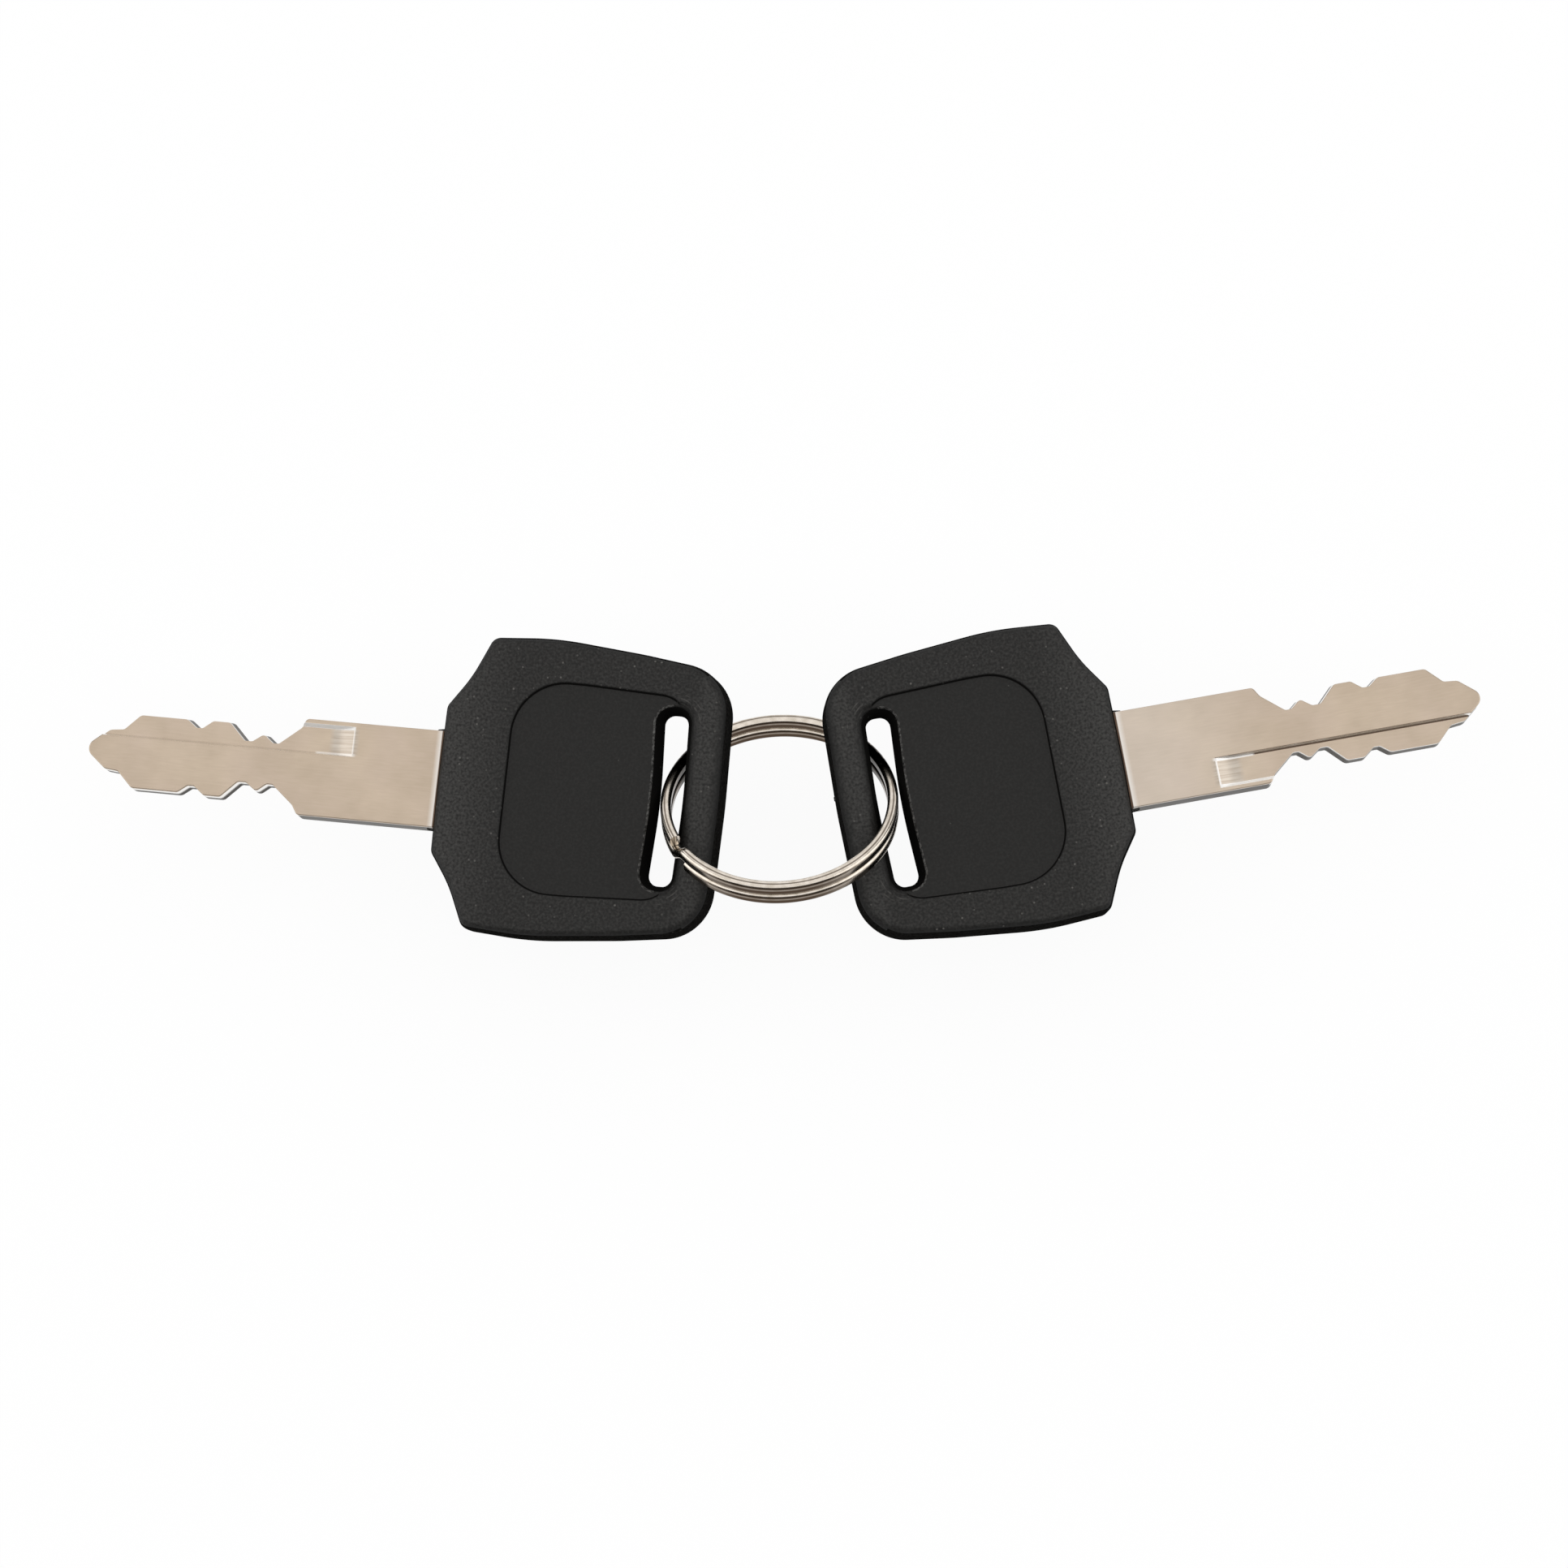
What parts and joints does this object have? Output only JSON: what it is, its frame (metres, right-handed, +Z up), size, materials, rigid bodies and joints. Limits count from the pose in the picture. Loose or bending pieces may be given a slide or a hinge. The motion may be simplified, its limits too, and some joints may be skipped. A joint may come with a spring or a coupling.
{
  "type": "ignition key set on a split ring",
  "caption": "Ignition keys with black slotted moulded heads and double-sided grooved blades, linked on a wire split ring.",
  "frame": {"origin": "middle of the set's plan box, on the table under its lowest points", "axes": "+X to the right along the longest extent, +Y away from the viewer, +Z up"},
  "size_m": [0.132, 0.0298, 0.0126],
  "materials": {
    "head_plastic": "fine moulded grain with smoother sunk panels",
    "blade_metal": "nickel plated, satin",
    "ring_metal": "bright nickel plated spring wire"
  },
  "bodies": {
    "ring": {"split_ring": "ring_metal"},
    "left_key": {"left_key_head": "head_plastic", "left_key_blade": "blade_metal"},
    "right_key": {"right_key_head": "head_plastic", "right_key_blade": "blade_metal"}
  },
  "joints": [
    {"name": "left_key_swivel", "type": "hinge", "parent": "ring", "child": "left_key", "pos_m": [0.00022, -0.00266, 0.00632], "axis": [0.9894, -0.1232, 0.0768], "range_deg": [0, 102]},
    {"name": "right_key_swivel", "type": "hinge", "parent": "ring", "child": "right_key", "pos_m": [0.00022, -0.00266, 0.00632], "axis": [0.9806, 0.1835, -0.0693], "range_deg": [0, 102]}
  ]
}
